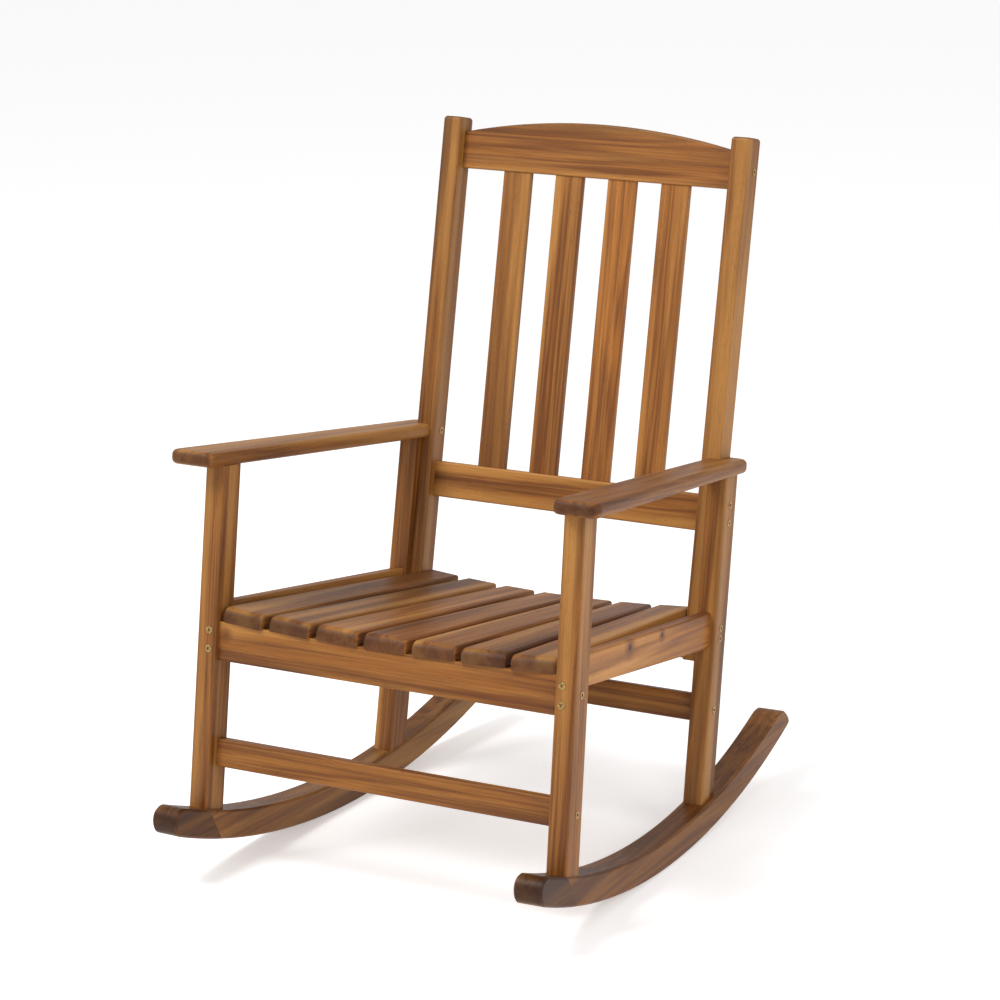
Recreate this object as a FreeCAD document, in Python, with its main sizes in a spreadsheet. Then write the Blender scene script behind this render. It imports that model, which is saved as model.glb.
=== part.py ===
import FreeCAD, Part
import math
import os
import Sketcher

# Slatted hardwood rocking chair, in millimetres.
# +Z is up, the sitter faces -Y, and the sitter's left hand is on +X.
# The origin is on the floor, midway between the two rocker tips, on the plane of symmetry.
# The four legs, the arms and the seat share one upright frame, the chair frame.
# It is pitched back as a whole on the rockers, so that the seat and the arms slope to the rear.

Vector = FreeCAD.Vector
Placement = FreeCAD.Placement
Rotation = FreeCAD.Rotation
X_AXIS = Vector(1, 0, 0)
Y_AXIS = Vector(0, 1, 0)
Z_AXIS = Vector(0, 0, 1)
SIDES = {"left": 1, "right": -1}

doc = FreeCAD.newDocument("rocking_chair")
sheet = doc.addObject("Spreadsheet::Sheet", "Size")
rows = []


def size(name, value, meaning):
    """Write one driving size into the sheet, with its name as the cell's alias."""
    rows.append(name)
    row = len(rows)
    sheet.set("A%d" % row, name)
    sheet.set("B%d" % row, str(value))
    sheet.set("C%d" % row, meaning)
    sheet.setAlias("B%d" % row, name)


# The stance of the chair frame on its rockers.
size("pitch", 8.29, "lean of the chair frame to the rear, degrees")
size("toe", 3.03, "turn of each side frame towards the rear centre, degrees")
size("rocker_toe", 2.4, "turn of each rocker towards the rear centre, degrees")
size("front_station", -362.3, "base of the chair frame, at the front legs, along Y")
size("frame_height", 14.7, "base of the chair frame above the floor")
size("leg_offset", 292, "middle of a side frame from the symmetry plane, at the front legs")
size("rocker_inset", 17.6, "middle of a rocker inside the front legs' middle, at the origin")

# Rockers.
size("rocker_width", 43, "across the running face")
size("rocker_depth", 43.5, "top to bottom at the lowest point")
size("rocker_radius", 1153, "running face")
size("rocker_top_radius", 1147.6, "upper face")
size("contact_station", 12.6, "lowest point of the running face, along Y")
size("rocker_front_reach", 432.3, "origin to the nose")
size("rocker_rear_reach", 434, "origin to the tail")
size("nose_radius", 19, "rounding of the nose, above and below")
size("tail_length", 49.5, "length of the rounded tail")
size("tail_lower_radius", 8, "rounding of the tail, below")
size("rocker_edge", 3, "bevel of the long edges")
size("nose_joint_bottom", -325.8, "slanted glue joint of the nose, at the running face, along Y")
size("nose_joint_top", -351.9, "the same joint at the upper face, along Y")

# Legs.
size("leg_width", 31, "side to side")
size("front_leg_depth", 43, "front to back")
size("rear_leg_depth", 44, "front to back")
size("rear_leg_station", 463.6, "front face of a rear leg behind the front legs, at floor level")
size("rear_leg_lean", 2.83, "extra lean of the rear legs, degrees")
size("leg_foot_front", 62, "height where a front leg is cut, inside the rocker's outline")
size("leg_foot_rear", 84, "height where a rear leg is cut, inside the rocker's outline")
size("leg_edge", 3.5, "rounding of the long edges")

# Arms.
size("arm_underside", 583.7, "height of the arms' underside at the front legs")
size("arm_slope", 0.5, "rise of the arms to the rear in the chair frame, degrees")
size("arm_thickness", 21, "top to bottom")
size("arm_front", -38.5, "front end")
size("arm_rear", 548, "rear end")
size("arm_front_overhang", 50.5, "outer edge outside the front legs' middle, at the front end")
size("arm_front_inset", 22, "inner edge inside the front legs' middle, at the front end")
size("arm_rear_inset", 5.8, "outer edge inside the front legs' middle, at the rear end")
size("arm_notch_inset", 60, "inner edge inside the front legs' middle, where it meets the post")
size("arm_corner", 14, "rounding of the corners in plan")
size("arm_edge", 8, "rounding of the long edges")

# Back posts.
size("post_inset", 65.4, "inner face inside the front legs' middle")
size("post_width", 30.4, "side to side")
size("post_depth", 38.5, "front to back")
size("post_station", 107.9, "front face at floor level, along Y")
size("post_lean", 12.37, "lean to the rear, degrees")
size("post_foot", 258, "lower end, along the post")
size("post_top", 1027, "upper end, along the post")
size("post_edge", 3.5, "rounding of the long edges")
size("post_top_edge", 5, "rounding of the upper end")

# Crest rail and lower back rail, along and behind the front faces of the posts.
size("crest_bottom", 950.4, "underside")
size("crest_end_height", 55.5, "height at the posts")
size("crest_rise", 25, "extra height of the arch in the middle")
size("crest_recess", 17, "front face behind the posts' front faces")
size("back_rail_bottom", 447.5, "underside of the lower rail")
size("back_rail_height", 54, "height of the lower rail")
size("back_rail_recess", 16, "front face behind the posts' front faces")
size("back_rail_thickness", 20, "front to back, both rails")
size("rail_edge", 3, "rounding of the long edges of the rails")
size("back_tenon_length", 14, "into each post")
size("back_tenon_thickness", 11, "front to back")
size("back_tenon_shoulder", 3, "rail left above and below the tenon")

# Back slats.
size("back_slat_width", 46.5, "side to side")
size("back_slat_thickness", 12, "front to back")
size("back_slat_pitch", 88.7, "from slat to slat")
size("back_slat_recess", 20.5, "front face behind the posts' front faces")
size("back_slat_housing", 12, "into each rail")
size("back_slat_edge", 3, "rounding of the long edges")

# Side rails of the seat.
size("side_rail_thickness", 18, "side to side")
size("side_rail_inset", 9, "outer face inside the legs' outer faces")
size("side_rail_front_top", 386, "top at the front leg")
size("side_rail_front_bottom", 341, "underside at the front leg")
size("side_rail_rear_top", 386, "top at the rear leg")
size("side_rail_rear_bottom", 332, "underside at the rear leg")
size("side_tenon_length", 12, "into each leg")
size("side_tenon_thickness", 9, "side to side")
size("side_tenon_bottom", 351, "underside of the tenons")
size("side_tenon_top", 374, "top of the tenons")

# Front and rear rails of the seat, with hollowed top edges.
size("front_rail_station", 9.2, "front face behind the front legs' front faces")
size("front_rail_thickness", 24, "front to back")
size("front_rail_bottom", 304, "underside")
size("front_rail_end_top", 361, "top at the legs")
size("front_rail_middle_top", 355.5, "top at the centre")
size("front_tenon_length", 16, "into each front leg")
size("front_tenon_thickness", 13, "front to back")
size("front_tenon_bottom", 313, "underside of the tenons")
size("front_tenon_top", 354, "top of the tenons")
size("rear_rail_station", 494, "front face behind the front legs' front faces")
size("rear_rail_thickness", 22, "front to back")
size("rear_rail_bottom", 311, "underside")
size("rear_rail_end_top", 366, "top at the posts")
size("rear_rail_middle_top", 354.4, "top at the centre")
size("rear_tenon_length", 12, "into each post")
size("rear_tenon_thickness", 11, "front to back")
size("rear_tenon_bottom", 320, "underside of the tenons")
size("rear_tenon_top", 341, "top of the tenons")

# Seat slats, which fan in towards the rear.
size("seat_slat_thickness", 21.5, "top to bottom")
size("seat_slat_front", 6, "front ends behind the front legs' front faces")
size("seat_slat_rear", 517, "rear ends")
size("seat_slat_width_front", 68, "width at the front ends")
size("seat_slat_width_rear", 52, "width at the rear ends")
size("seat_slat_pitch_front", 78.5, "from slat to slat at the front ends")
size("seat_slat_pitch_rear", 66, "from slat to slat at the rear ends")
size("seat_slat_bed", 0.6, "depth of the flats cut for the slats in the rails")
size("seat_slat_nose", 12.5, "rounding of the front ends")
size("seat_slat_edge", 4, "rounding of the top edges")

# Stretchers between the legs.
size("stretcher_thickness", 18, "front to back")
size("front_stretcher_bottom", 149, "underside")
size("front_stretcher_height", 40.5, "height")
size("front_stretcher_recess", 17, "front face behind the legs' front faces")
size("rear_stretcher_bottom", 222.5, "underside")
size("rear_stretcher_height", 40, "height")
size("rear_stretcher_recess", 9.4, "front face behind the legs' front faces")
size("stretcher_tenon_length", 10, "into each leg")
size("stretcher_tenon_thickness", 12, "front to back")
size("stretcher_tenon_shoulder", 7, "stretcher left above and below the tenon")

# Brass socket-head bolts and wooden dowels.
size("shank_diameter", 6, "bolt")
size("head_diameter", 11, "bolt head")
size("head_thickness", 2.2, "bolt head")
size("head_stand", 0.6, "head left standing out of the wood")
size("socket_across", 5, "hexagon across corners")
size("socket_depth", 1.6, "hexagon socket")
size("bolt_clearance", 0.15, "all round a bolt in its bore")
size("rail_bolt_length", 62, "through a leg into a rail or a stretcher")
size("pin_bolt_length", 29, "through a front leg's face into the front rail's tenon")
size("post_bolt_length", 47, "through a rear leg into a post")
size("back_bolt_length", 66, "through a post into a back rail")
size("arm_bolt_length", 44, "through a post into an arm")
size("leg_dowel_diameter", 10, "between a leg and its rocker or arm")
size("leg_dowel_rise", 26, "into the leg")
size("rocker_dowel_sink", 20, "into the rocker")
size("arm_dowel_rise", 13, "into the arm")
size("arm_dowel_shift", 6, "outwards from the middle of a rear leg")
size("seat_dowel_diameter", 8, "between a seat slat and its rail")
size("seat_dowel_rise", 14, "into the slat")
size("seat_dowel_sink", 24, "into the rail")
size("front_rail_bolt_depth", 21, "bolt behind the front leg's front face")
size("front_rail_bolt_height", 334.8, "bolt through the front leg into the front rail")
size("pin_bolt_spacing", 27, "between the two bolts in the front face")
size("pin_bolt_shift", 5, "those bolts inwards from the middle of the leg")
size("post_bolt_upper", 531.5, "middle of the two bolts below the arm")
size("post_bolt_upper_spacing", 26, "between those bolts")
size("post_bolt_lower", 355.4, "middle of the two bolts at the seat")
size("post_bolt_lower_spacing", 15, "between those bolts")
size("arm_bolt_station", 531, "bolt from the post into the arm")
doc.recompute()


def val(expression):
    """The value of an expression on the sheet's names."""
    return float(sheet.evalExpression(expression))


def at(x, y, z, axis=None, angle=0):
    """A placement at a point, turned about an axis."""
    turn = Rotation() if axis is None else Rotation(axis, angle)
    return Placement(Vector(x, y, z), turn)


# ---------------------------------------------------------------- building helpers


def outline(body, plane, corners, arcs, start):
    """A closed sketch on one of the body's own planes, its corners and radii bound to the sheet.

    arcs gives, for the side that starts at a corner, its radius and which way it turns:
    1 when its centre is on the left of the way round, -1 when it is on the right."""
    sketch = body.newObject("Sketcher::SketchObject", body.Name + "_outline")
    plane_object = [f for f in body.Origin.OriginFeatures if f.Role == plane][0]
    sketch.AttachmentSupport = (plane_object, [""])
    sketch.MapMode = "FlatFace"
    way = "-" if plane == "XZ_Plane" else ""
    sketch.setExpression("AttachmentOffset.Base.z", "%s(%s)" % (way, start))
    points = [Vector(val(x), val(y), 0) for x, y in corners]
    count = len(points)
    ends = []
    for i in range(count):
        a = points[i]
        b = points[(i + 1) % count]
        if i not in arcs:
            sketch.addGeometry(Part.LineSegment(a, b), False)
            ends.append((1, 2))
            continue
        radius = val(arcs[i][0])
        chord = b - a
        left = Vector(-chord.y, chord.x, 0)
        left.normalize()
        rise = math.sqrt(radius ** 2 - (chord.Length / 2) ** 2)
        centre = (a + b) * 0.5 + left * (rise * arcs[i][1])
        circle = Part.Circle(centre, Z_AXIS, radius)
        first, last = (a, b) if arcs[i][1] > 0 else (b, a)
        ends.append((1, 2) if arcs[i][1] > 0 else (2, 1))
        begin = math.atan2(first.y - centre.y, first.x - centre.x)
        end = math.atan2(last.y - centre.y, last.x - centre.x)
        if end < begin:
            end += 2 * math.pi
        sketch.addGeometry(Part.ArcOfCircle(circle, begin, end), False)
    for i in range(count):
        after = (i + 1) % count
        sketch.addConstraint(
            Sketcher.Constraint("Coincident", i, ends[i][1], after, ends[after][0]))
    for i in range(count):
        for kind, value, text in (("DistanceX", points[i].x, corners[i][0]),
                                  ("DistanceY", points[i].y, corners[i][1])):
            if text == "0":
                axis = -2 if kind == "DistanceX" else -1
                sketch.addConstraint(Sketcher.Constraint("PointOnObject", i, ends[i][0], axis))
                continue
            index = sketch.addConstraint(
                Sketcher.Constraint(kind, -1, 1, i, ends[i][0], value))
            name = "%s_%d" % (kind, i)
            sketch.renameConstraint(index, name)
            sketch.setExpression("Constraints." + name, text)
        if i in arcs:
            index = sketch.addConstraint(Sketcher.Constraint("Radius", i, val(arcs[i][0])))
            sketch.renameConstraint(index, "Radius_%d" % i)
            sketch.setExpression("Constraints.Radius_%d" % i, arcs[i][0])
    return sketch


def board(name, plane, corners, thickness, start="0", arcs=None, placement=None):
    """A body: an outline padded by its thickness from start along the plane's own axis."""
    body = doc.addObject("PartDesign::Body", name)
    sketch = outline(body, plane, corners, arcs or {}, start)
    pad = body.newObject("PartDesign::Pad", name + "_pad")
    pad.Profile = sketch
    pad.Reversed = plane == "XZ_Plane"
    pad.setExpression("Length", thickness)
    if placement is not None:
        body.Placement = placement
    doc.recompute()
    return body


def bar(name, width, depth, bottom, top, placement):
    """An upright bar centred side to side, with its front face on the local XZ plane."""
    half = "%s / 2" % width
    corners = [("-" + half, "0"), (half, "0"), (half, depth), ("-" + half, depth)]
    return board(name, "XY_Plane", corners, "%s - %s" % (top, bottom), bottom,
                 placement=placement)


def middle(edge):
    """The point halfway along an edge."""
    return edge.valueAt(edge.getParameterByLength(edge.Length / 2))


def along(edge, axis):
    """Whether an edge is straight and parallel to an axis."""
    if edge.Curve.TypeId != "Part::GeomLine":
        return False
    run = edge.Vertexes[-1].Point - edge.Vertexes[0].Point
    return run.Length > 0 and abs(run.dot(axis)) > 0.999 * run.Length


def rounded(body, radius, wanted):
    """Round the wanted edges of a body's last feature."""
    base = body.Tip
    names = []
    for number, edge in enumerate(base.Shape.Edges):
        if wanted(edge):
            names.append("Edge%d" % (number + 1))
    fillet = body.newObject("PartDesign::Fillet", body.Name + "_round")
    fillet.Base = (base, names)
    fillet.setExpression("Radius", radius)
    doc.recompute()
    return fillet


def bevelled(body, width, wanted):
    """Bevel the wanted edges of a body's last feature."""
    base = body.Tip
    names = []
    for number, edge in enumerate(base.Shape.Edges):
        if wanted(edge):
            names.append("Edge%d" % (number + 1))
    bevel = body.newObject("PartDesign::Chamfer", body.Name + "_bevel")
    bevel.Base = (base, names)
    bevel.setExpression("Size", width)
    doc.recompute()
    return bevel


def boxed(name, sizes, corner, placement):
    """A block with bound sizes, its lowest corner at a local point of a placement."""
    block = doc.addObject("Part::Box", name)
    for side, text in zip(("Length", "Width", "Height"), sizes):
        block.setExpression(side, text)
    block.Placement = placement * at(*[val(text) for text in corner])
    return block


def cut(name, base, tools):
    """The base less each tool in turn; the last result carries the name."""
    result = base
    for number, tool in enumerate(tools):
        last = number == len(tools) - 1
        step = doc.addObject("Part::Cut", name if last else name + "_less")
        step.Base = result
        step.Tool = tool
        result = step
        doc.recompute()
        if step.Shape.Volume > step.Base.Shape.Volume - 0.5:
            raise RuntimeError("%s takes nothing from %s" % (tool.Name, name))
    return result


def joined(name, shapes):
    """Several solids fused into one."""
    union = doc.addObject("Part::MultiFuse", name)
    union.Shapes = shapes
    union.Refine = True
    doc.recompute()
    return union


# ---------------------------------------------------------------- frames

CHAIR = at(0, val("front_station"), val("frame_height"), X_AXIS, -val("pitch"))
REAR = CHAIR * at(0, val("rear_leg_station"), 0, X_AXIS, -val("rear_leg_lean"))
POST = at(0, val("post_station"), 0, X_AXIS, -val("post_lean"))
ARMS = CHAIR * at(0, 0, val("arm_underside"), X_AXIS, val("arm_slope"))


def side_frame(side):
    """The chair frame of one side: its origin below the front leg, turned in to the rear."""
    base = at(side * val("leg_offset"), val("front_station"), val("frame_height"))
    turned = base * at(0, 0, 0, Z_AXIS, side * val("toe"))
    return turned * at(0, 0, 0, X_AXIS, -val("pitch"))


def rear_leg_frame(side):
    """The frame of one rear leg, leaning back more than the front legs."""
    lean = -val("rear_leg_lean")
    return side_frame(side) * at(0, val("rear_leg_station"), 0, X_AXIS, lean)


def rocker_frame(side):
    """The frame of one rocker, standing upright on the floor."""
    return at(side * val("leg_offset - rocker_inset"), 0, 0, Z_AXIS, side * val("rocker_toe"))


# Each member's blank, and the solids that are cut out of it to make its joints.
blanks = {}
cutters = {}


def member(name, blank):
    """Keep a member's blank under its name."""
    blanks[name] = blank
    cutters[name] = []


def pierce(tool, names):
    """Cut a tool out of each named member."""
    for name in names:
        cutters[name].append(tool)


# ---------------------------------------------------------------- rockers
# Each rocker is one bent runner: two arcs, a rounded nose and a rounded tail.
# Its nose is a darker block, glued on with a slanted joint under the front leg.

def arc_height(station, radius, centre_height):
    """Expression for the height of an arc of the rocker above the floor at a station."""
    run = "(%s - Size.contact_station)" % station
    return "(%s) - sqrt((%s)^2 - %s^2)" % (centre_height, radius, run)


def lower_arc(station):
    return arc_height(station, "Size.rocker_radius", "Size.rocker_radius")


def upper_arc(station):
    return arc_height(station, "Size.rocker_top_radius",
                      "Size.rocker_top_radius + Size.rocker_depth")


NOSE = "-Size.rocker_front_reach"
TAIL = "Size.rocker_rear_reach"
TAIL_TOP = "(Size.rocker_rear_reach - Size.tail_length)"
# The tail's arc runs smoothly into the upper face, which fixes its radius.
TAIL_RUN = "(%s - %s)" % (TAIL, TAIL_TOP)
TAIL_DROP = "(%s - (%s))" % (lower_arc(TAIL), upper_arc(TAIL_TOP))
TAIL_ACROSS = "(%s * (%s - Size.contact_station) + %s * (%s - %s)) / %s" % (
    TAIL_RUN, TAIL_TOP, TAIL_DROP, "(" + upper_arc(TAIL_TOP) + ")",
    "(Size.rocker_top_radius + Size.rocker_depth)", "Size.rocker_top_radius")
TAIL_RADIUS = "(%s^2 + %s^2) / (2 * (%s))" % (TAIL_RUN, TAIL_DROP, TAIL_ACROSS)
JOINT_LOW = "Size.nose_joint_bottom"
JOINT_TOP = "Size.nose_joint_top"
for side_name, side in SIDES.items():
    runner = board(
        "rocker_%s_board" % side_name, "YZ_Plane",
        [(JOINT_LOW, lower_arc(JOINT_LOW)), (TAIL, lower_arc(TAIL)),
         (TAIL_TOP, upper_arc(TAIL_TOP)), (JOINT_TOP, upper_arc(JOINT_TOP))],
        "Size.rocker_width", "-Size.rocker_width / 2",
        {0: ("Size.rocker_radius", 1), 1: (TAIL_RADIUS, 1),
         2: ("Size.rocker_top_radius", -1)},
        rocker_frame(side))
    rounded(runner, "Size.tail_lower_radius",
            lambda e: along(e, X_AXIS) and middle(e).y > val("rocker_rear_reach") - 1)
    nose = board(
        "rocker_nose_%s_board" % side_name, "YZ_Plane",
        [(NOSE, lower_arc(NOSE)), (JOINT_LOW, lower_arc(JOINT_LOW)),
         (JOINT_TOP, upper_arc(JOINT_TOP)), (NOSE, upper_arc(NOSE))],
        "Size.rocker_width", "-Size.rocker_width / 2",
        {0: ("Size.rocker_radius", 1), 2: ("Size.rocker_top_radius", -1)},
        rocker_frame(side))
    rounded(nose, "min(Size.nose_radius; 0.44 * Size.rocker_depth)",
            lambda e: along(e, X_AXIS) and middle(e).y < -val("rocker_front_reach") + 1)
    joint = val("(nose_joint_bottom + nose_joint_top) / 2")
    for piece in (runner, nose):
        bevelled(piece, "Size.rocker_edge",
                 lambda e: abs(abs(middle(e).x) - val("rocker_width") / 2) < 0.01
                 and abs(middle(e).y - joint) > 3)
    member("rocker_" + side_name, runner)
    member("rocker_nose_" + side_name, nose)

# ---------------------------------------------------------------- legs
# The legs stand on the rockers, cut to the rockers' curve, and end under the arms.

above_arms = boxed("above_arms", ("1200", "1200", "200"), ("-600", "-200", "0"), ARMS)
for side_name, side in SIDES.items():
    for end, frame, depth, foot in (
            ("front", side_frame(side), "Size.front_leg_depth", "Size.leg_foot_front"),
            ("rear", rear_leg_frame(side), "Size.rear_leg_depth", "Size.leg_foot_rear")):
        name = "%s_leg_%s" % (end, side_name)
        leg = bar(name + "_bar", "Size.leg_width", depth, foot, "Size.arm_underside + 30", frame)
        rounded(leg, "Size.leg_edge", lambda e: along(e, Z_AXIS))
        under = ["rocker_" + side_name]
        if end == "front":
            under.append("rocker_nose_" + side_name)
        tools = [above_arms] + [blanks[piece] for piece in under]
        member(name, cut(name + "_blank", leg, tools))

# ---------------------------------------------------------------- arms
# Flat boards that narrow to the rear and pass outside the back posts.

for side_name, side in SIDES.items():
    way = "" if side > 0 else "-"
    outer = "%s(Size.leg_offset - Size.post_inset) %s Size.post_width" % (way, "+" if side > 0 else "-")
    corners = [("%s(Size.leg_offset - Size.arm_front_inset)" % way, "Size.arm_front"),
               ("%s(Size.leg_offset + Size.arm_front_overhang)" % way, "Size.arm_front"),
               ("%s(Size.leg_offset - Size.arm_rear_inset)" % way, "Size.arm_rear"),
               (outer, "Size.arm_rear"),
               (outer, "Size.arm_rear - Size.post_depth / 2"),
               ("%s(Size.leg_offset - Size.arm_notch_inset)" % way, "Size.arm_rear - Size.post_depth / 2")]
    if side < 0:
        corners.reverse()
    arm = board("arm_%s_board" % side_name, "XY_Plane", corners, "Size.arm_thickness",
                placement=ARMS)
    rounded(arm, "Size.arm_corner", lambda e: along(e, Z_AXIS) and (
        middle(e).y < val("arm_front") + 1
        or (middle(e).y > val("arm_rear") - 1
            and abs(middle(e).x) > val("(leg_offset - arm_rear_inset)") - 1)))
    rounded(arm, "Size.arm_edge", lambda e: not along(e, Z_AXIS)
            and (abs(middle(e).z) < 0.01 or abs(middle(e).z - val("arm_thickness")) < 0.01)
            and not (middle(e).y > val("arm_rear - post_depth") and along(e, X_AXIS)
                     and middle(e).y < val("arm_rear") - 1)
            and not (along(e, Y_AXIS)))
    member("arm_" + side_name, arm)

# ---------------------------------------------------------------- back posts
# The posts lean back further than the legs; below the arms each is rebated
# to lie against the inner face of its rear leg.

for side_name, side in SIDES.items():
    centre = side * val("(leg_offset - post_inset) + post_width / 2")
    post = bar("post_%s_bar" % side_name, "Size.post_width", "Size.post_depth",
               "Size.post_foot", "Size.post_top", POST * at(centre, 0, 0))
    rounded(post, "Size.post_edge", lambda e: along(e, Z_AXIS))
    rounded(post, "Size.post_top_edge", lambda e: middle(e).z > val("post_top") - 0.01)
    rebate = boxed("post_%s_rebate" % side_name, ("Size.leg_width + 100", "300",
                                                 "Size.arm_underside + 30"),
                   ("-leg_width / 2" if side > 0 else "-leg_width / 2 - 100",
                    "rear_leg_station - 60", "0"), side_frame(side))
    rebate_below = cut("post_%s_rebate_cut" % side_name, rebate, [above_arms])
    blank = cut("post_%s_blank" % side_name, post, [rebate_below])
    member("back_post_" + side_name, blank)
    pierce(blank, ["arm_" + side_name])

# ---------------------------------------------------------------- back rails and slats
# The crest rail is arched on top; both rails are tenoned into the posts.

END = "(Size.leg_offset - Size.post_inset)"
CREST_END_TOP = "(Size.crest_bottom + Size.crest_end_height)"
CREST_RADIUS = "(%s^2 + Size.crest_rise^2) / (2 * Size.crest_rise)" % END


def back_rail(name, corners, arcs, recess, bottom, height):
    """A rail between the posts, with a tenon at each end."""
    rail = board(name + "_board", "XZ_Plane", corners, "Size.back_rail_thickness",
                 recess, arcs, POST)
    rounded(rail, "Size.rail_edge",
            lambda e: abs(middle(e).x) < val("(leg_offset - post_inset)") - 1 and not along(e, Y_AXIS))
    tenon = boxed(name + "_tenon",
                  ("2 * ((Size.leg_offset - Size.post_inset) + Size.back_tenon_length)",
                   "Size.back_tenon_thickness",
                   "%s - 2 * Size.back_tenon_shoulder" % height),
                  ("-(leg_offset - post_inset) - back_tenon_length",
                   "%s + (back_rail_thickness - back_tenon_thickness) / 2" % recess,
                   "%s + back_tenon_shoulder" % bottom), POST)
    member(name, joined(name + "_tenoned", [rail, tenon]))


back_rail("crest_rail",
          [("-" + END, "Size.crest_bottom"), (END, "Size.crest_bottom"),
           (END, CREST_END_TOP), ("-" + END, CREST_END_TOP)],
          {2: (CREST_RADIUS, 1)}, "Size.crest_recess", "Size.crest_bottom",
          "Size.crest_end_height")
LOWER_TOP = "(Size.back_rail_bottom + Size.back_rail_height)"
back_rail("lower_back_rail",
          [("-" + END, "Size.back_rail_bottom"), (END, "Size.back_rail_bottom"),
           (END, LOWER_TOP), ("-" + END, LOWER_TOP)],
          {}, "Size.back_rail_recess", "Size.back_rail_bottom", "Size.back_rail_height")

BACK_SLATS = 4
for number in range(BACK_SLATS):
    place = (number - (BACK_SLATS - 1) / 2) * val("back_slat_pitch")
    name = "back_slat_%d" % (number + 1)
    slat = bar(name + "_board", "Size.back_slat_width", "Size.back_slat_thickness",
               "(Size.back_rail_bottom + Size.back_rail_height - Size.back_slat_housing)",
               "(Size.crest_bottom + Size.back_slat_housing)",
               POST * at(place, val("back_slat_recess"), 0))
    rounded(slat, "Size.back_slat_edge", lambda e: along(e, Z_AXIS))
    member(name, slat)
    pierce(slat, ["crest_rail", "lower_back_rail"])
for side_name in SIDES:
    pierce(blanks["crest_rail"], ["back_post_" + side_name])
    pierce(blanks["lower_back_rail"], ["back_post_" + side_name])

# ---------------------------------------------------------------- side rails of the seat

for side_name, side in SIDES.items():
    name = "side_rail_" + side_name
    inner = "Size.leg_width / 2 - Size.side_rail_inset"
    start = "%s - Size.side_rail_thickness" % inner if side > 0 else "-(%s)" % inner
    back = "Size.rear_leg_station + Size.rear_leg_depth"
    rail = board(name + "_board", "YZ_Plane",
                 [("Size.front_leg_depth / 2", "Size.side_rail_front_bottom"),
                  (back, "Size.side_rail_rear_bottom"),
                  (back, "Size.side_rail_rear_top"),
                  ("Size.front_leg_depth / 2", "Size.side_rail_front_top")],
                 "Size.side_rail_thickness", start, placement=side_frame(side))
    rounded(rail, "Size.rail_edge", lambda e: not along(e, X_AXIS) and not along(e, Z_AXIS)
            and abs(middle(e).y - val("rear_leg_station / 2")) < 60)
    legs = ["front_leg_" + side_name, "rear_leg_" + side_name]
    shouldered = cut(name + "_shouldered", rail, [blanks[leg] for leg in legs])
    tenon = boxed(name + "_tenon",
                  ("Size.side_tenon_thickness",
                   "Size.rear_leg_station - Size.front_leg_depth + 2 * Size.side_tenon_length"
                   " + Size.side_tenon_top * tan(Size.rear_leg_lean)",
                   "Size.side_tenon_top - Size.side_tenon_bottom"),
                  ("%s + (side_rail_thickness - side_tenon_thickness) / 2" % start,
                   "front_leg_depth - side_tenon_length", "side_tenon_bottom"),
                  side_frame(side))
    member(name, joined(name + "_tenoned", [shouldered, tenon]))
    pierce(blanks[name], legs)

# ---------------------------------------------------------------- front and rear seat rails
# Their top edges are hollowed, so that the slats make a dished seat.


def seat_rail(name, half, prefix, tenon_half, ends):
    """A rail with a hollowed top edge, shouldered against its neighbours and tenoned."""
    front_top = "Size.%s_rail_end_top" % prefix
    middle_top = "Size.%s_rail_middle_top" % prefix
    sag = "(%s - %s)" % (front_top, middle_top)
    radius = "((%s)^2 + %s^2) / (2 * %s)" % (half, sag, sag)
    rail = board(name + "_board", "XZ_Plane",
                 [("-(%s)" % half, "Size.%s_rail_bottom" % prefix),
                  (half, "Size.%s_rail_bottom" % prefix),
                  (half, front_top), ("-(%s)" % half, front_top)],
                 "Size.%s_rail_thickness" % prefix, "Size.%s_rail_station" % prefix,
                 {2: (radius, -1)}, CHAIR)
    rounded(rail, "Size.rail_edge / 2",
            lambda e: along(e, X_AXIS) and middle(e).z < val("%s_rail_bottom" % prefix) + 1)
    shouldered = cut(name + "_shouldered", rail, [blanks[end] for end in ends])
    tenon = boxed(name + "_tenon",
                  ("2 * (%s)" % tenon_half, "Size.%s_tenon_thickness" % prefix,
                   "Size.%s_tenon_top - Size.%s_tenon_bottom" % (prefix, prefix)),
                  ("-(%s)" % tenon_half,
                   "%s_rail_station + (%s_rail_thickness - %s_tenon_thickness) / 2"
                   % (prefix, prefix, prefix), "%s_tenon_bottom" % prefix), CHAIR)
    member(name, joined(name + "_tenoned", [shouldered, tenon]))
    pierce(blanks[name], ends)


seat_rail("front_rail", "Size.leg_offset - Size.leg_width / 4", "front",
          "Size.leg_offset - Size.leg_width / 2 + Size.front_tenon_length",
          ["front_leg_left", "front_leg_right"])
seat_rail("rear_rail", "(Size.leg_offset - Size.post_inset) + 4", "rear",
          "(Size.leg_offset - Size.post_inset) + Size.rear_tenon_length",
          ["back_post_left", "back_post_right"])

# ---------------------------------------------------------------- seat slats
# Seven tapered slats fan out to the front. Each is bedded in shallow flats in both rails.

SEAT_SLATS = 7


def rail_top(prefix, place):
    """Height of a seat rail's hollowed edge at a distance from the centre."""
    half = val("leg_offset - leg_width / 4") if prefix == "front" else val("(leg_offset - post_inset) + 4")
    sag = val("%s_rail_end_top - %s_rail_middle_top" % (prefix, prefix))
    radius = (half ** 2 + sag ** 2) / (2 * sag)
    lowest = val("%s_rail_middle_top" % prefix)
    return lowest + radius - math.sqrt(radius ** 2 - place ** 2)


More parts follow.
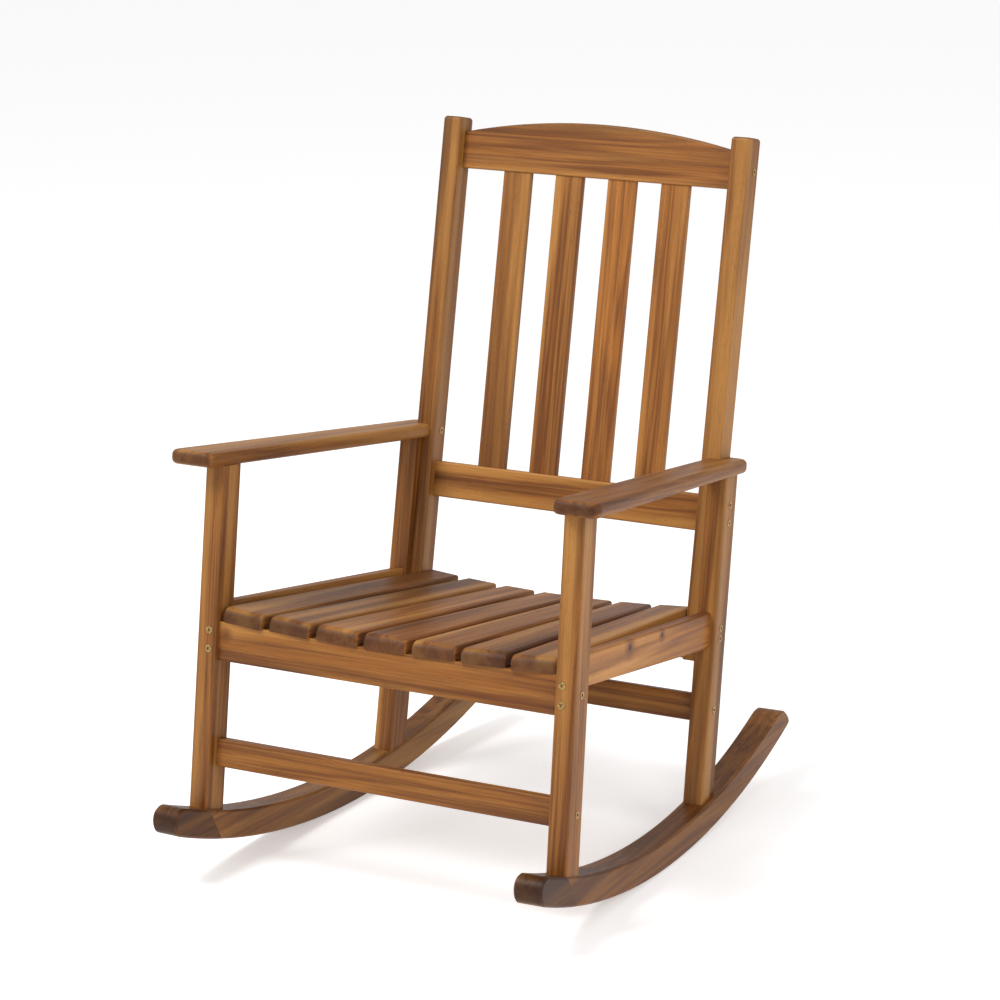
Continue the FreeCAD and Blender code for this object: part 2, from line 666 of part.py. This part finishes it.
def slat_frame(step):
    """The frame of one seat slat: along its centre line, rolled to follow the hollow."""
    front = val("seat_slat_pitch_front") * step
    rear = val("seat_slat_pitch_rear") * step
    bed = val("seat_slat_bed")
    length = val("seat_slat_rear - seat_slat_front")
    start = Vector(front, val("seat_slat_front"), rail_top("front", front) - bed)
    end = Vector(rear, val("seat_slat_rear"), rail_top("rear", rear) - bed)
    run = end - start
    run.normalize()
    slope = (rail_top("front", front + 1) - rail_top("front", front - 1)) / 4
    slope += (rail_top("rear", rear + 1) - rail_top("rear", rear - 1)) / 4
    across = Vector(1, 0, slope)
    upward = across.cross(run)
    upward.normalize()
    across = run.cross(upward)
    turn = Rotation(across, run, upward, "XYZ")
    return CHAIR * Placement(start, turn), length


for number in range(SEAT_SLATS):
    step = number - (SEAT_SLATS - 1) / 2
    frame, length = slat_frame(step)
    name = "seat_slat_%d" % (number + 1)
    reach = "Size.seat_slat_rear - Size.seat_slat_front"
    slat = board(name + "_board", "XY_Plane",
                 [("-Size.seat_slat_width_front / 2", "0"),
                  ("Size.seat_slat_width_front / 2", "0"),
                  ("Size.seat_slat_width_rear / 2", reach),
                  ("-Size.seat_slat_width_rear / 2", reach)],
                 "Size.seat_slat_thickness", placement=frame)
    thickness = val("seat_slat_thickness")
    round_from = thickness - val("seat_slat_nose") + 0.1
    rounded(slat, "Size.seat_slat_nose", lambda e: along(e, X_AXIS)
            and middle(e).y < 1 and middle(e).z > thickness - 1)
    rounded(slat, "Size.seat_slat_edge", lambda e: middle(e).z > round_from
            and abs(middle(e).x) > 1 and abs(middle(e).y - length) > 0.01)
    rounded(slat, "Size.seat_slat_edge", lambda e: middle(e).z > thickness - 0.01
            and abs(middle(e).y - length) < 0.01 and abs(middle(e).x) < 1)
    member(name, slat)
    pierce(slat, ["front_rail", "rear_rail"])

# ---------------------------------------------------------------- stretchers

for end, frame in (("front", CHAIR), ("rear", REAR)):
    name = end + "_stretcher"
    bottom = "Size.%s_stretcher_bottom" % end
    height = "Size.%s_stretcher_height" % end
    recess = "Size.%s_stretcher_recess" % end
    station = "0" if end == "front" else "Size.rear_leg_station"
    half = "(Size.leg_offset - %s * tan(Size.toe))" % station
    blank = board(name + "_board", "XZ_Plane",
                  [("-" + half, bottom), (half, bottom),
                   (half, "%s + %s" % (bottom, height)),
                   ("-" + half, "%s + %s" % (bottom, height))],
                  "Size.stretcher_thickness", recess, placement=frame)
    rounded(blank, "Size.rail_edge",
            lambda e: abs(middle(e).x) < 1 and not along(e, Y_AXIS))
    legs = ["%s_leg_left" % end, "%s_leg_right" % end]
    shouldered = cut(name + "_shouldered", blank, [blanks[leg] for leg in legs])
    reach = "(%s - Size.leg_width / 2 + Size.stretcher_tenon_length)" % half
    tenon = boxed(name + "_tenon",
                  ("2 * " + reach, "Size.stretcher_tenon_thickness",
                   "%s - 2 * Size.stretcher_tenon_shoulder" % height),
                  ("-" + reach,
                   "%s + (stretcher_thickness - stretcher_tenon_thickness) / 2" % recess,
                   "%s + stretcher_tenon_shoulder" % bottom), frame)
    member(name, joined(name + "_tenoned", [shouldered, tenon]))
    pierce(blanks[name], legs)


# ---------------------------------------------------------------- bolts and dowels

fasteners = {}


def into_wood(placement, x, y, z, direction):
    """A placement on a surface whose local Z runs into the wood."""
    return placement * Placement(Vector(x, y, z), Rotation(Z_AXIS, Vector(*direction)))


def cylinder(name, diameter, length, placement):
    """A round bar from a placement along its Z."""
    rod = doc.addObject("Part::Cylinder", name)
    rod.setExpression("Radius", "(%s) / 2" % diameter)
    rod.setExpression("Height", length)
    rod.Placement = placement
    return rod


def bolt(group, length, placement, names):
    """A socket-head bolt, its stepped bore in the named members, and its place in a group."""
    fasteners.setdefault(group, [])
    name = "%s_%d" % (group, len(fasteners[group]) + 1)
    outside = placement * at(0, 0, -val("head_stand"))
    head = cylinder(name + "_head", "Size.head_diameter", "Size.head_thickness", outside)
    shank = cylinder(name + "_shank", "Size.shank_diameter", length, placement)
    whole = joined(name + "_whole", [head, shank])
    socket = doc.addObject("Part::Prism", name + "_socket")
    socket.Polygon = 6
    socket.setExpression("Circumradius", "Size.socket_across / 2")
    socket.setExpression("Height", "Size.socket_depth")
    socket.Placement = outside
    fasteners[group].append(cut(name, whole, [socket]))
    gap = "2 * Size.bolt_clearance"
    head_bore = cylinder(name + "_head_bore", "Size.head_diameter + " + gap,
                         "Size.head_thickness", outside)
    shank_bore = cylinder(name + "_shank_bore", "Size.shank_diameter + " + gap,
                          "%s + Size.bolt_clearance" % length, placement)
    pierce(joined(name + "_bore", [head_bore, shank_bore]), names)


def dowel(group, diameter, length, placement, names):
    """A glued dowel, its hole in the named members, and its place in a group."""
    fasteners.setdefault(group, [])
    name = "%s_%d" % (group, len(fasteners[group]) + 1)
    rod = cylinder(name, diameter, length, placement)
    fasteners[group].append(rod)
    pierce(rod, names)


for side_name, side in SIDES.items():
    front_leg = "front_leg_" + side_name
    rear_leg = "rear_leg_" + side_name
    post = "back_post_" + side_name
    front = side_frame(side)
    rear = rear_leg_frame(side)
    face = side * val("leg_width / 2")
    inwards = (-side, 0, 0)
    outwards = (side, 0, 0)
    # Bolts into the ends of the front rail and of both stretchers.
    bolt("rail_bolts", "Size.rail_bolt_length",
         into_wood(front, face, val("front_rail_bolt_depth"), val("front_rail_bolt_height"),
                   inwards), [front_leg, "front_rail"])
    bolt("rail_bolts", "Size.rail_bolt_length",
         into_wood(front, face, val("front_stretcher_recess + stretcher_thickness / 2"),
                   val("front_stretcher_bottom + front_stretcher_height / 2"), inwards),
         [front_leg, "front_stretcher"])
    bolt("rail_bolts", "Size.rail_bolt_length",
         into_wood(rear, face, val("rear_stretcher_recess + stretcher_thickness / 2"),
                   val("rear_stretcher_bottom + rear_stretcher_height / 2"), inwards),
         [rear_leg, "rear_stretcher"])
    # Bolts from the front, which pin the tenons of the front rail.
    for step in (-0.5, 0.5):
        height = val("front_rail_bolt_height") + step * val("pin_bolt_spacing")
        bolt("pin_bolts", "Size.pin_bolt_length",
             into_wood(front, -side * val("pin_bolt_shift"), 0, height, (0, 1, 0)),
             [front_leg, "front_rail"])
    # Bolts through a rear leg into its post, two below the arm and two at the seat.
    for height in ("post_bolt_upper", "post_bolt_lower"):
        for step in (-0.5, 0.5):
            along_leg = val(height) + step * val(height + "_spacing")
            bolt("post_bolts", "Size.post_bolt_length",
                 into_wood(rear, face, val("rear_leg_depth / 2"), along_leg, inwards),
                 [rear_leg, post])
    # Bolts through a post into the end of the crest rail, and out into the arm.
    bolt("crest_bolts", "Size.back_bolt_length",
         into_wood(POST, side * val("(leg_offset - post_inset) + post_width"), val("crest_recess + 8"),
                   val("crest_bottom + crest_end_height / 2"), inwards),
         [post, "crest_rail"])
    bolt("arm_bolts", "Size.arm_bolt_length",
         into_wood(ARMS, side * val("(leg_offset - post_inset)"), val("arm_bolt_station"),
                   val("arm_thickness / 2"), outwards),
         [post, "arm_" + side_name])
    # Dowels between the legs and the rockers and arms.
    for leg, frame, depth, station in (
            (front_leg, front, "front_leg_depth", "front_station"),
            (rear_leg, rear, "rear_leg_depth", "front_station + rear_leg_station")):
        foot_station = val("%s + %s / 2" % (station, depth))
        foot = val(upper_arc("(%s)" % foot_station))
        foot = (foot - val("frame_height")) / math.cos(math.radians(val("pitch")))
        if leg == rear_leg:
            foot += val("(rear_leg_station + rear_leg_depth / 2) * tan(pitch)")
        else:
            foot += val("front_leg_depth / 2 * tan(pitch)")
        dowel("leg_dowels", "Size.leg_dowel_diameter",
              "Size.rocker_dowel_sink + Size.leg_dowel_rise",
              frame * at(0, val(depth) / 2, foot - val("rocker_dowel_sink")),
              [leg, "rocker_" + side_name])
        run = foot_station - val("front_station")
        top = val("arm_underside") + run * math.tan(math.radians(val("arm_slope")))
        shift = side * val("arm_dowel_shift") if leg == rear_leg else 0
        dowel("arm_dowels", "Size.leg_dowel_diameter",
              "Size.leg_dowel_rise + Size.arm_dowel_rise",
              frame * at(shift, val(depth) / 2, top - val("leg_dowel_rise")),
              [leg, "arm_" + side_name])

for number in range(SEAT_SLATS):
    step = number - (SEAT_SLATS - 1) / 2
    frame, length = slat_frame(step)
    for rail in ("front", "rear"):
        station = val("%s_rail_station + %s_rail_thickness / 2 - seat_slat_front" % (rail, rail))
        dowel("seat_dowels", "Size.seat_dowel_diameter",
              "Size.seat_dowel_sink + Size.seat_dowel_rise",
              frame * at(0, station, -val("seat_dowel_sink")),
              ["seat_slat_%d" % (number + 1), rail + "_rail"])

# ---------------------------------------------------------------- finished pieces

pieces = {}
for name in blanks:
    pieces[name] = cut(name, blanks[name], cutters[name]) if cutters[name] else blanks[name]
for name in fasteners:
    group = doc.addObject("Part::Compound", name)
    group.Links = fasteners[name]
    pieces[name] = group
doc.recompute()

for thing in doc.Objects:
    if "Invalid" in thing.State or "Error" in thing.State:
        raise RuntimeError("%s did not build: %s" % (thing.Name, thing.State))
for name in pieces:
    pieces[name].Label = name
    shape = pieces[name].Shape
    if shape.isNull() or not shape.isValid():
        raise RuntimeError("%s has no valid shape" % name)
    expected = len(fasteners[name]) if name in fasteners else 1
    if len(shape.Solids) != expected:
        raise RuntimeError("%s has %d solids" % (name, len(shape.Solids)))

os.makedirs("parts", exist_ok=True)
for name in pieces:
    pieces[name].Shape.exportStep("parts/%s.step" % name)
print("%d nodes" % len(pieces))
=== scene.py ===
import math
import bpy
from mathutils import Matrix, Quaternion, Vector


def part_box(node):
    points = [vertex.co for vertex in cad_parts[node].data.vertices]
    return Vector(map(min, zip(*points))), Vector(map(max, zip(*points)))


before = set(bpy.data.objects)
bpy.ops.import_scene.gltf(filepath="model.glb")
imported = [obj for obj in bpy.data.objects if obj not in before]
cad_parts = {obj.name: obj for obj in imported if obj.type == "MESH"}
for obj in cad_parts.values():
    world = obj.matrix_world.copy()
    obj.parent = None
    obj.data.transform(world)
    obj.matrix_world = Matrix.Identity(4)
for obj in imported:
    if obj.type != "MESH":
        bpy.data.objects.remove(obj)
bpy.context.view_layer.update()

# ---------------------------------------------------------------- rockers
# Two long curved runners of oiled hardwood, rounded at the tail and bevelled on the long edges.
# Each carries the front and the rear leg of one side on dowels; grain runs from end to end.

CHAIR_PITCH = math.radians(8.29)        # lean of the chair frame to the rear
SIDE_TOE = math.radians(3.03)           # turn of each side frame to the rear centre
ROCKER_TOE = math.radians(2.4)          # turn of each rocker to the rear centre

PALE = (0.470, 0.215, 0.052)            # sapwood streaks
HONEY = (0.270, 0.096, 0.017)           # the main tone of the oiled wood
BROWN = (0.155, 0.049, 0.010)           # late wood
WALNUT = (0.048, 0.014, 0.004)          # dark heartwood streaks


def tinted(colour, depth, warmth=1.0):
    """A wood colour darkened by depth, and made redder or yellower by warmth."""
    red, green, blue = colour
    return (red * depth, green * depth / warmth, blue * depth / warmth ** 2, 1.0)


def oiled_wood(name, grain, depth=1.0, warmth=1.0, streaks=0.5, seed=0.0, knots=()):
    """Oiled hardwood with its fibres along grain: growth lines, streaks, pores, end grain.

    streaks is the share of dark heartwood; a knot is (x, y, z, radius in metres)."""
    wood = bpy.data.materials.new(name)
    wood.use_nodes = True
    nodes, links = wood.node_tree.nodes, wood.node_tree.links
    nodes.clear()
    output = nodes.new("ShaderNodeOutputMaterial")
    shader = nodes.new("ShaderNodeBsdfPrincipled")
    links.new(shader.outputs["BSDF"], output.inputs["Surface"])

    def maths(kind, first, second):
        node = nodes.new("ShaderNodeMath")
        node.operation = kind
        for socket, value in zip(node.inputs, (first, second)):
            if isinstance(value, (int, float)):
                socket.default_value = value
            else:
                links.new(value, socket)
        return node.outputs[0]

    def spread(value, low, high, to_low=0.0, to_high=1.0):
        node = nodes.new("ShaderNodeMapRange")
        node.interpolation_type = "SMOOTHSTEP"
        links.new(value, node.inputs["Value"])
        for socket, number in (("From Min", low), ("From Max", high),
                               ("To Min", to_low), ("To Max", to_high)):
            node.inputs[socket].default_value = number
        return node.outputs["Result"]

    def stretched(vector, scale):
        node = nodes.new("ShaderNodeVectorMath")
        node.operation = "MULTIPLY"
        links.new(vector, node.inputs[0])
        node.inputs[1].default_value = scale
        return node.outputs["Vector"]

    def noise(vector, scale, detail, rough=0.5, warp=0.0):
        node = nodes.new("ShaderNodeTexNoise")
        links.new(vector, node.inputs["Vector"])
        node.inputs["Scale"].default_value = scale
        node.inputs["Detail"].default_value = detail
        node.inputs["Roughness"].default_value = rough
        node.inputs["Distortion"].default_value = warp
        return node.outputs["Fac"]

    def blended(share, first, second):
        node = nodes.new("ShaderNodeMix")
        node.data_type = "RGBA"
        links.new(share, node.inputs["Factor"])
        for socket, value in ((node.inputs[6], first), (node.inputs[7], second)):
            if isinstance(value, tuple):
                socket.default_value = value
            else:
                links.new(value, socket)
        return node.outputs[2]

    # The board's own axes: X runs along the fibres, shifted so that no two boards match.
    place = nodes.new("ShaderNodeTexCoord")
    board = nodes.new("ShaderNodeMapping")
    board.vector_type = "POINT"
    turn = Vector(grain).rotation_difference(Vector((1, 0, 0)))
    board.inputs["Rotation"].default_value = turn.to_euler()
    board.inputs["Location"].default_value = (seed * 3.7, seed * 1.9, seed * 2.3)
    links.new(place.outputs["Object"], board.inputs["Vector"])
    fibres = board.outputs["Vector"]

    # Growth lines: the rings of the log cut lengthwise, wandering along the board.
    wander = noise(stretched(fibres, (0.9, 9.0, 9.0)), 1.0, 3.0, 0.5, 0.4)
    rings = noise(stretched(fibres, (0.8, 26.0, 26.0)), 1.0, 3.0, 0.45, 0.35)
    turns = maths("ADD", maths("MULTIPLY", rings, 8.0), maths("MULTIPLY", wander, 5.0))
    line = maths("PINGPONG", turns, 0.5)
    growth = spread(line, 0.0, 0.5)
    fine = noise(stretched(fibres, (4.0, 330.0, 330.0)), 1.0, 4.0, 0.6, 0.1)
    fibre = noise(stretched(fibres, (22.0, 1500.0, 1500.0)), 1.0, 2.0, 0.6)
    broad = noise(stretched(fibres, (1.0, 17.0, 17.0)), 1.0, 3.0, 0.5, 0.4)

    colour = blended(growth, tinted(BROWN, depth, warmth), tinted(HONEY, depth, warmth))
    sap = noise(stretched(fibres, (0.9, 24.0, 24.0)), 1.0, 3.0, 0.5, 0.3)
    colour = blended(spread(sap, 0.46, 0.64, 0.0, 0.85), colour,
                     tinted(PALE, depth, warmth))
    colour = blended(spread(fine, 0.40, 0.72, 0.0, 0.35), colour,
                     tinted(PALE, depth, warmth))
    heart = spread(broad, 0.58 - 0.12 * streaks, 0.76 - 0.12 * streaks, 0.0, 0.80)
    colour = blended(heart, colour, tinted(WALNUT, depth * 1.6, warmth))
    colour = blended(spread(fibre, 0.25, 0.60, 0.30, 0.0), colour,
                     tinted(WALNUT, depth * 1.2, warmth))

    # Pores: short dark dashes along the fibres.
    cells = nodes.new("ShaderNodeTexVoronoi")
    cells.feature = "F1"
    links.new(stretched(fibres, (60.0, 900.0, 900.0)), cells.inputs["Vector"])
    cells.inputs["Scale"].default_value = 1.0
    pore = spread(cells.outputs["Distance"], 0.10, 0.30, 1.0, 0.0)
    scarce = spread(noise(stretched(fibres, (9.0, 120.0, 120.0)), 1.0, 2.0), 0.45, 0.62)
    pore = maths("MULTIPLY", pore, scarce)
    colour = blended(maths("MULTIPLY", pore, 0.6), colour, tinted(WALNUT, depth, warmth))

    # Knots: dark rings round a darker heart.
    for x, y, z, radius in knots:
        away = nodes.new("ShaderNodeVectorMath")
        away.operation = "DISTANCE"
        links.new(place.outputs["Object"], away.inputs[0])
        away.inputs[1].default_value = (x, y, z)
        ragged = maths("ADD", away.outputs["Value"],
                       maths("MULTIPLY", maths("SUBTRACT", wander, 0.5), radius))
        halo = spread(ragged, radius * 0.5, radius * 2.2, 0.8, 0.0)
        heart = spread(ragged, radius * 0.35, radius * 0.8, 0.9, 0.0)
        colour = blended(halo, colour, tinted(BROWN, depth * 0.8, warmth))
        colour = blended(heart, colour, tinted(WALNUT, depth * 0.6, warmth))

    # End grain soaks up more oil: it is darker where the face looks along the fibres.
    facing = nodes.new("ShaderNodeVectorMath")
    facing.operation = "DOT_PRODUCT"
    links.new(place.outputs["Normal"], facing.inputs[0])
    facing.inputs[1].default_value = Vector(grain).normalized()
    end = spread(maths("ABSOLUTE", facing.outputs["Value"], 0.0), 0.55, 0.92, 0.0, 0.72)
    colour = blended(end, colour, tinted(WALNUT, depth * 1.25, warmth))
    links.new(colour, shader.inputs["Base Color"])

    # A satin oil finish, duller in the open pores and on the end grain.
    sheen = maths("ADD", spread(fine, 0.2, 0.8, 0.36, 0.52), maths("MULTIPLY", pore, 0.2))
    links.new(maths("ADD", sheen, maths("MULTIPLY", end, 0.15)), shader.inputs["Roughness"])
    shader.inputs["Specular IOR Level"].default_value = 0.22
    relief = maths("ADD", maths("MULTIPLY", fine, 0.6), maths("MULTIPLY", fibre, 0.4))
    relief = maths("SUBTRACT", relief, maths("MULTIPLY", pore, 0.8))
    bump = nodes.new("ShaderNodeBump")
    bump.inputs["Strength"].default_value = 0.35
    bump.inputs["Distance"].default_value = 0.0004
    links.new(relief, bump.inputs["Height"])
    links.new(bump.outputs["Normal"], shader.inputs["Normal"])
    return wood


def finish_node(name, material):
    """Give a CAD piece its material, as the only material slot of its mesh."""
    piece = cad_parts[name]
    piece.data.materials.clear()
    piece.data.materials.append(material)
    for face in piece.data.polygons:
        face.material_index = 0


for side_name, side in (("left", 1), ("right", -1)):
    run = (-side * math.sin(ROCKER_TOE), math.cos(ROCKER_TOE), 0.0)
    wood = oiled_wood("rocker_wood_" + side_name, run, depth=0.68, warmth=1.0,
                      streaks=0.6, seed=1.3 + side)
    finish_node("rocker_" + side_name, wood)

# ---------------------------------------------------------------- rocker noses
# The rounded front end of each rocker is a block of darker heartwood.
# It is glued on with a slanted joint just under the front leg.

for side_name, side in (("left", 1), ("right", -1)):
    run = (-side * math.sin(ROCKER_TOE), math.cos(ROCKER_TOE), 0.0)
    wood = oiled_wood("rocker_nose_wood_" + side_name, run, depth=0.36, warmth=1.06,
                      streaks=1.0, seed=4.1 + side)
    finish_node("rocker_nose_" + side_name, wood)

# ---------------------------------------------------------------- legs
# Four straight legs of rectangular section with eased edges, standing on the rockers.
# Grain runs up each leg; the rear pair leans back more than the front pair.

REAR_LEG_LEAN = math.radians(2.83)
LEG_TONES = {"front_leg_left": (0.86, 0.5), "front_leg_right": (0.84, 0.6),
             "rear_leg_left": (0.84, 0.6), "rear_leg_right": (0.92, 0.45)}
for number, (name, (depth, streaks)) in enumerate(LEG_TONES.items()):
    lean = CHAIR_PITCH + (REAR_LEG_LEAN if name.startswith("rear") else 0.0)
    up = (0.0, math.sin(lean), math.cos(lean))
    wood = oiled_wood(name + "_wood", up, depth, 1.0, streaks, seed=7.0 + 1.37 * number)
    finish_node(name, wood)

# ---------------------------------------------------------------- arms
# Two flat boards with rounded edges, wide and round-cornered in front, narrow behind.
# Their front ends show dark end grain; each is held by hidden dowels and one bolt.

ARM_RISE = math.radians(0.5)            # rise of the arms to the rear in the chair frame
ARM_PITCH = CHAIR_PITCH - ARM_RISE
for side_name, side in (("left", 1), ("right", -1)):
    run = (-side * math.sin(SIDE_TOE), math.cos(ARM_PITCH), -math.sin(ARM_PITCH))
    wood = oiled_wood("arm_wood_" + side_name, run, 0.80 if side > 0 else 0.78, 1.0,
                      0.55, seed=13.2 + 1.7 * side)
    finish_node("arm_" + side_name, wood)

# ---------------------------------------------------------------- back posts
# Two tall posts with softened tops, set inside the rear legs and bolted through them.
# They lean back further than the legs.

POST_LEAN = math.radians(12.37)
POST_UP = (0.0, math.sin(POST_LEAN), math.cos(POST_LEAN))
for side_name, depth, streaks, seed in (("left", 0.84, 0.45, 17.3), ("right", 0.76, 0.6, 19.1)):
    wood = oiled_wood("back_post_wood_" + side_name, POST_UP, depth, 1.0, streaks, seed)
    finish_node("back_post_" + side_name, wood)

# ---------------------------------------------------------------- back rails
# The arched crest rail and the lower back rail, tenoned between the posts.
# Grain runs from side to side.

ACROSS = (1.0, 0.0, 0.0)
for name, depth, streaks, seed in (("crest_rail", 0.92, 0.5, 22.4),
                                   ("lower_back_rail", 1.0, 0.4, 24.9)):
    wood = oiled_wood(name + "_wood", ACROSS, depth, 1.0, streaks, seed)
    finish_node(name, wood)

# ---------------------------------------------------------------- back slats
# Four flat upright slats housed in the two back rails.
# They vary from pale honey to brown, as boards from different logs do.

for number, (depth, streaks) in enumerate(((0.96, 0.5), (0.92, 0.5), (1.16, 0.3), (1.06, 0.4))):
    name = "back_slat_%d" % (number + 1)
    wood = oiled_wood(name + "_wood", POST_UP, depth, 1.0, streaks, 27.0 + 2.13 * number)
    finish_node(name, wood)

# ---------------------------------------------------------------- side rails of the seat
# Deep rails under the outer seat slats, tenoned between the front and the rear leg.
# The left one has a dark knot in its outer face.

for side_name, side in (("left", 1), ("right", -1)):
    run = (-side * math.sin(SIDE_TOE), math.cos(CHAIR_PITCH), -math.sin(CHAIR_PITCH))
    low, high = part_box("side_rail_" + side_name)
    knots = ()
    if side > 0:
        knots = ((high.x - 0.008, low.y + 0.36 * (high.y - low.y),
                  low.z + 0.72 * (high.z - low.z), 0.012),
                 (high.x - 0.014, low.y + 0.60 * (high.y - low.y),
                  low.z + 0.60 * (high.z - low.z), 0.008))
    wood = oiled_wood("side_rail_wood_" + side_name, run, 1.12 if side > 0 else 0.9, 1.0,
                      0.35, 37.7 + side, knots)
    finish_node("side_rail_" + side_name, wood)

# ---------------------------------------------------------------- front and rear seat rails
# Rails from leg to leg and from post to post, hollowed on top to make the seat dished.
# The front rail is pinned by two brass bolts through each leg.

for name, depth, streaks, seed in (("front_rail", 0.94, 0.45, 41.2),
                                   ("rear_rail", 0.86, 0.5, 43.6)):
    low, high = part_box(name)
    knots = ()
    if name == "front_rail":
        knots = ((low.x + 0.030, low.y, low.z + 0.7 * (high.z - low.z), 0.008),)
    wood = oiled_wood(name + "_wood", ACROSS, depth, 1.0, streaks, seed, knots)
    finish_node(name, wood)

# ---------------------------------------------------------------- seat slats
# Seven slats that narrow to the rear, with round noses over the front rail.
# They are doweled to both rails, and their tones differ from slat to slat.

SEAT_TONES = ((0.74, 0.7), (0.70, 0.9), (0.92, 0.4), (0.98, 0.35),
              (0.90, 0.45), (0.78, 0.7), (0.86, 0.4))
GRAIN_FAN = (0.066 - 0.077) / 0.511     # sideways lean of the grain, from slat to slat
MIDDLE_SLAT = 3
for number, (depth, streaks) in enumerate(SEAT_TONES):
    name = "seat_slat_%d" % (number + 1)
    run = (GRAIN_FAN * (number - MIDDLE_SLAT), math.cos(CHAIR_PITCH), -math.sin(CHAIR_PITCH))
    wood = oiled_wood(name + "_wood", run, depth, 1.0, streaks, 47.0 + 1.91 * number)
    finish_node(name, wood)

# ---------------------------------------------------------------- stretchers
# Thin rails that tie the two front legs and the two rear legs together.
# Each is tenoned and held by one brass bolt at each end.

for name, depth, seed in (("front_stretcher", 0.92, 62.3), ("rear_stretcher", 0.86, 64.8)):
    wood = oiled_wood(name + "_wood", ACROSS, depth, 1.0, 0.5, seed)
    finish_node(name, wood)

# ---------------------------------------------------------------- bolts
# Brass socket-head bolts, dull and a little browned in the open air.
# Their heads stand just proud of the wood.


def aged_brass(name):
    """Dull brass, browner in patches, with fine scratches."""
    brass = bpy.data.materials.new(name)
    brass.use_nodes = True
    nodes, links = brass.node_tree.nodes, brass.node_tree.links
    shader = nodes["Principled BSDF"]
    shader.inputs["Metallic"].default_value = 0.85
    place = nodes.new("ShaderNodeTexCoord")
    patches = nodes.new("ShaderNodeTexNoise")
    links.new(place.outputs["Object"], patches.inputs["Vector"])
    patches.inputs["Scale"].default_value = 420.0
    patches.inputs["Detail"].default_value = 4.0
    tones = nodes.new("ShaderNodeValToRGB")
    links.new(patches.outputs["Fac"], tones.inputs["Fac"])
    tones.color_ramp.elements[0].position = 0.35
    tones.color_ramp.elements[0].color = (0.20, 0.11, 0.035, 1.0)
    tones.color_ramp.elements[1].position = 0.68
    tones.color_ramp.elements[1].color = (0.52, 0.35, 0.13, 1.0)
    links.new(tones.outputs["Color"], shader.inputs["Base Color"])
    dulling = nodes.new("ShaderNodeMapRange")
    links.new(patches.outputs["Fac"], dulling.inputs["Value"])
    dulling.inputs["To Min"].default_value = 0.48
    dulling.inputs["To Max"].default_value = 0.30
    links.new(dulling.outputs["Result"], shader.inputs["Roughness"])
    scratches = nodes.new("ShaderNodeBump")
    scratches.inputs["Strength"].default_value = 0.15
    scratches.inputs["Distance"].default_value = 0.0001
    links.new(patches.outputs["Fac"], scratches.inputs["Height"])
    links.new(scratches.outputs["Normal"], shader.inputs["Normal"])
    return brass


brass = aged_brass("bolt_brass")
for name in ("rail_bolts", "pin_bolts", "post_bolts", "crest_bolts", "arm_bolts"):
    finish_node(name, brass)

# ---------------------------------------------------------------- dowels
# Plain hardwood dowels, glued into blind holes and out of sight once the chair is together.

DOWEL_UP = (0.0, 0.14, 0.99)
for name, seed in (("leg_dowels", 71.0), ("arm_dowels", 73.0), ("seat_dowels", 75.0)):
    finish_node(name, oiled_wood(name + "_wood", DOWEL_UP, 1.1, 1.0, 0.2, seed))

# ---------------------------------------------------------------- floor
# A plain white studio floor that runs on past the view.
# It glows a little of itself, which keeps it white and the shadows soft.

FLOOR_REACH = 30.0
floor_mesh = bpy.data.meshes.new("floor")
floor_mesh.from_pydata([(-FLOOR_REACH, -FLOOR_REACH, 0.0), (FLOOR_REACH, -FLOOR_REACH, 0.0),
                        (FLOOR_REACH, FLOOR_REACH, 0.0), (-FLOOR_REACH, FLOOR_REACH, 0.0)],
                       [], [(0, 1, 2, 3)])
floor = bpy.data.objects.new("floor", floor_mesh)
bpy.context.scene.collection.objects.link(floor)
paint = bpy.data.materials.new("white_floor")
paint.use_nodes = True
matt = paint.node_tree.nodes["Principled BSDF"].inputs
matt["Base Color"].default_value = (0.9, 0.9, 0.9, 1.0)
matt["Roughness"].default_value = 0.9
matt["Specular IOR Level"].default_value = 0.0
matt["Emission Color"].default_value = (1.0, 1.0, 1.0, 1.0)
matt["Emission Strength"].default_value = 0.38
floor_mesh.materials.append(paint)

# ---------------------------------------------------------------- light
# White surroundings and two large soft boxes, aimed at the middle of the chair:
# the key stands high in front of its right side, the weaker fill beside its left.

studio = bpy.data.worlds.new("studio")
studio.use_nodes = True
surroundings = studio.node_tree.nodes["Background"].inputs
surroundings["Color"].default_value = (1.0, 1.0, 1.0, 1.0)
surroundings["Strength"].default_value = 0.62
bpy.context.scene.world = studio
AIM = Vector((0.0, 0.0, 0.45))


def soft_box(name, place, width, power):
    """A square area light that looks at the middle of the chair."""
    lamp = bpy.data.lights.new(name, "AREA")
    lamp.shape = "SQUARE"
    lamp.size = width
    lamp.energy = power
    holder = bpy.data.objects.new(name, lamp)
    holder.location = place
    holder.rotation_mode = "QUATERNION"
    holder.rotation_quaternion = (AIM - Vector(place)).to_track_quat("-Z", "Y")
    bpy.context.scene.collection.objects.link(holder)


soft_box("key_light", (-1.2, -2.0, 3.4), 1.3, 100.0)
soft_box("fill_light", (3.0, -0.8, 2.0), 1.6, 34.0)

# ---------------------------------------------------------------- camera
# A long lens a little above the seat, in front of the chair and on its left.
# It has no shift and no depth of field.

lens = bpy.data.cameras.new("camera")
lens.sensor_width = 36.0
lens.lens = 126.0
lens.clip_end = 100.0
camera = bpy.data.objects.new("camera", lens)
camera.location = (2.41827, -4.23644, 1.83060)
camera.rotation_mode = "QUATERNION"
camera.rotation_quaternion = Quaternion((0.769627, 0.586173, 0.159682, 0.196411))
bpy.context.scene.collection.objects.link(camera)
bpy.context.scene.camera = camera
bpy.context.scene.view_settings.view_transform = "Standard"
